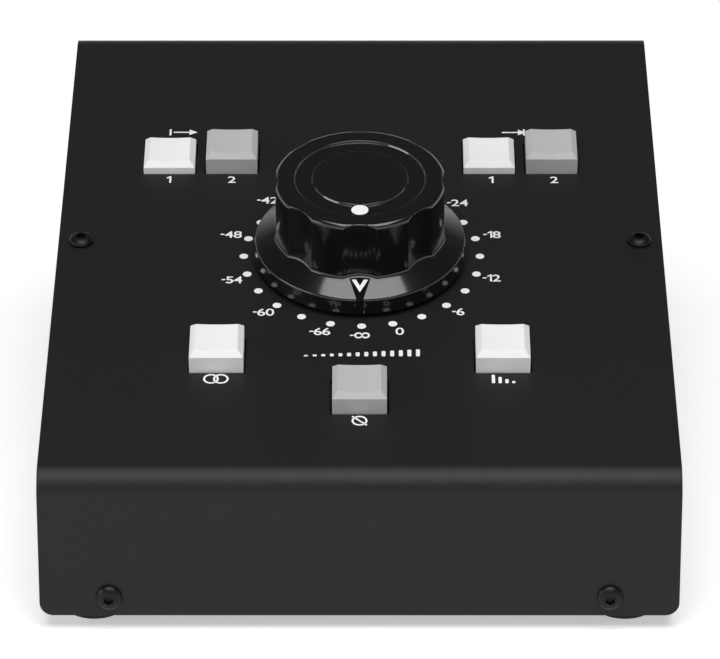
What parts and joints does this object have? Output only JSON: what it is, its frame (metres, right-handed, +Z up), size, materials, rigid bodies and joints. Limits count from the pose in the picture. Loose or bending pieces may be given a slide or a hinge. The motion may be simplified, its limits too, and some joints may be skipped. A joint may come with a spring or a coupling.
{
  "type": "studio monitor controller",
  "caption": "Wedge-shaped desktop audio controller: sloping folded cover, large fluted level knob with a skirt, square push buttons and jack sockets at the back.",
  "frame": {"origin": "below the middle of the overall box, on the plane of the feet's undersides", "axes": "+X to the user's right, +Y from the low front to the high back, +Z up"},
  "size_m": [0.14, 0.1808, 0.0823],
  "materials": {
    "case_black": "fine satin powder coat",
    "screw_black": "black oxide",
    "zinc_steel": "zinc plated",
    "spring_steel": "drawn wire",
    "foot_rubber": "matte",
    "knob_black": "semi-gloss",
    "marker_white": "smooth",
    "insert_brass": "turned",
    "contact_metal": "tinned",
    "cast_zinc": "as cast",
    "switch_plastic": "moulded",
    "stem_plastic": "moulded",
    "phenolic_board": "laminate",
    "resistor_body": "glazed",
    "circuit_board": "solder mask",
    "jack_plastic": "moulded",
    "nickel_plate": "nickel plated",
    "ribbon_grey": "ribbed",
    "cap_white": "satin",
    "cap_grey": "satin"
  },
  "bodies": {
    "case": {"top_cover": "case_black", "base_tray": "case_black", "case_screws": "screw_black", "weld_nuts": "zinc_steel", "rubber_feet": "foot_rubber", "switch_frame": "cast_zinc", "panel_nut": "zinc_steel", "detent_plate": "zinc_steel", "stator_wafers": "phenolic_board", "stator_contacts": "contact_metal", "wafer_pillars": "switch_plastic", "attenuator_resistors": "resistor_body", "switch_housings": "switch_plastic", "solder_pins": "contact_metal", "main_board": "circuit_board", "board_standoffs": "zinc_steel", "board_screws": "zinc_steel", "input_jacks": "jack_plastic", "output_jacks": "jack_plastic", "jack_nuts": "nickel_plate", "jack_board": "circuit_board", "ribbon_headers": "switch_plastic", "ribbon_cable": "ribbon_grey", "output_1_spring": "spring_steel", "output_2_spring": "spring_steel", "input_1_spring": "spring_steel", "input_2_spring": "spring_steel", "mono_spring": "spring_steel", "mute_spring": "spring_steel", "dim_spring": "spring_steel"},
    "level_knob": {"knob": "knob_black", "index_dot": "marker_white", "pointer_chevron": "marker_white", "knob_insert": "insert_brass", "set_screw": "screw_black", "switch_shaft": "zinc_steel", "detent_arm": "zinc_steel", "detent_rollers": "spring_steel", "detent_springs": "spring_steel", "rotor_hub": "switch_plastic", "wipers": "contact_metal"},
    "output_1_button": {"output_1_cap": "cap_white", "output_1_plunger": "stem_plastic"},
    "output_2_button": {"output_2_cap": "cap_grey", "output_2_plunger": "stem_plastic"},
    "input_1_button": {"input_1_cap": "cap_white", "input_1_plunger": "stem_plastic"},
    "input_2_button": {"input_2_cap": "cap_grey", "input_2_plunger": "stem_plastic"},
    "mono_button": {"mono_cap": "cap_white", "mono_plunger": "stem_plastic"},
    "mute_button": {"mute_cap": "cap_grey", "mute_plunger": "stem_plastic"},
    "dim_button": {"dim_cap": "cap_white", "dim_plunger": "stem_plastic"}
  },
  "joints": [
    {"name": "level_turn", "type": "hinge", "parent": "case", "child": "level_knob", "pos_m": [0, -0.00834, 0.0565], "axis": [0, -0.2419, 0.9703], "range_deg": [-345, 0]},
    {"name": "output_1_press", "type": "slide", "parent": "case", "child": "output_1_button", "axis": [0, -0.2419, 0.9703], "range_m": [-0.0006, 0.0024], "stiffness_N_per_m": 400, "deforming": ["output_1_spring"]},
    {"name": "output_2_press", "type": "slide", "parent": "case", "child": "output_2_button", "axis": [0, -0.2419, 0.9703], "range_m": [-0.003, 0], "stiffness_N_per_m": 400, "springref_m": 0.002, "deforming": ["output_2_spring"]},
    {"name": "input_1_press", "type": "slide", "parent": "case", "child": "input_1_button", "axis": [0, -0.2419, 0.9703], "range_m": [-0.0006, 0.0024], "stiffness_N_per_m": 400, "deforming": ["input_1_spring"]},
    {"name": "input_2_press", "type": "slide", "parent": "case", "child": "input_2_button", "axis": [0, -0.2419, 0.9703], "range_m": [-0.003, 0], "stiffness_N_per_m": 400, "springref_m": 0.002, "deforming": ["input_2_spring"]},
    {"name": "mono_press", "type": "slide", "parent": "case", "child": "mono_button", "axis": [0, -0.2419, 0.9703], "range_m": [-0.003, 0], "stiffness_N_per_m": 400, "springref_m": 0.002, "deforming": ["mono_spring"]},
    {"name": "mute_press", "type": "slide", "parent": "case", "child": "mute_button", "axis": [0, -0.2419, 0.9703], "range_m": [-0.003, 0], "stiffness_N_per_m": 400, "springref_m": 0.002, "deforming": ["mute_spring"]},
    {"name": "dim_press", "type": "slide", "parent": "case", "child": "dim_button", "axis": [0, -0.2419, 0.9703], "range_m": [-0.003, 0], "stiffness_N_per_m": 400, "springref_m": 0.002, "deforming": ["dim_spring"]}
  ]
}
